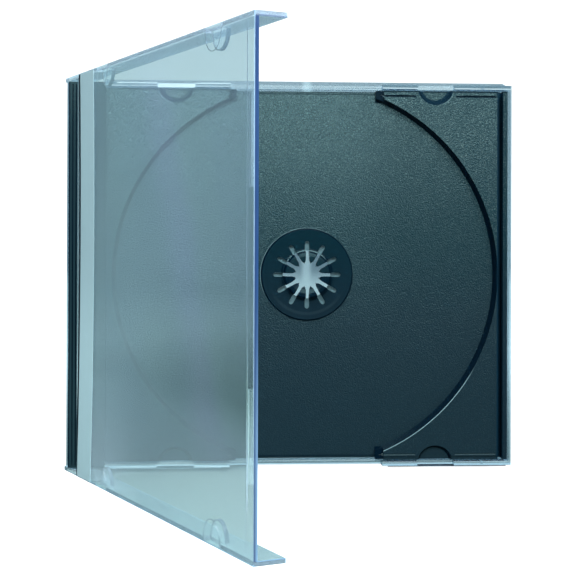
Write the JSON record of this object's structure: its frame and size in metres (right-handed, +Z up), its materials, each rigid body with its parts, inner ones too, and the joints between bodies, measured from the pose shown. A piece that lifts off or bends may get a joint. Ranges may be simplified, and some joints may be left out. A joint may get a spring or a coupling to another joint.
{
  "type": "cd jewel case",
  "caption": "Clear hinged disc case standing on its long edge with the lid part way open, a black tray with a slotted hub for the disc, and a bare pale strip stuck on the lid.",
  "frame": {"origin": "middle of the footprint of the part way open case, on the surface it stands on", "axes": "+X runs across the base from the hinge edge to the opening edge, +Y points out of the back face, +Z is up"},
  "size_m": [0.143, 0.1324, 0.125],
  "materials": {
    "clear_plastic": "clear, glossy, cool tint",
    "clear_lid_plastic": "clear, glossy, blue at the edges",
    "black_plastic": "fine grained, smooth round the hub",
    "pale_strip": "semi-matte strip, bare"
  },
  "bodies": {
    "base": {"base_shell": "clear_plastic", "disc_tray": "black_plastic"},
    "lid": {"lid": "clear_lid_plastic", "lid_label_strip": "pale_strip"}
  },
  "joints": [
    {"name": "lid_hinge", "type": "hinge", "parent": "base", "child": "lid", "pos_m": [-0.0651, 0.06111, 0.0625], "axis": [0, 0, -1], "range_deg": [-66.6, 113.4]}
  ]
}
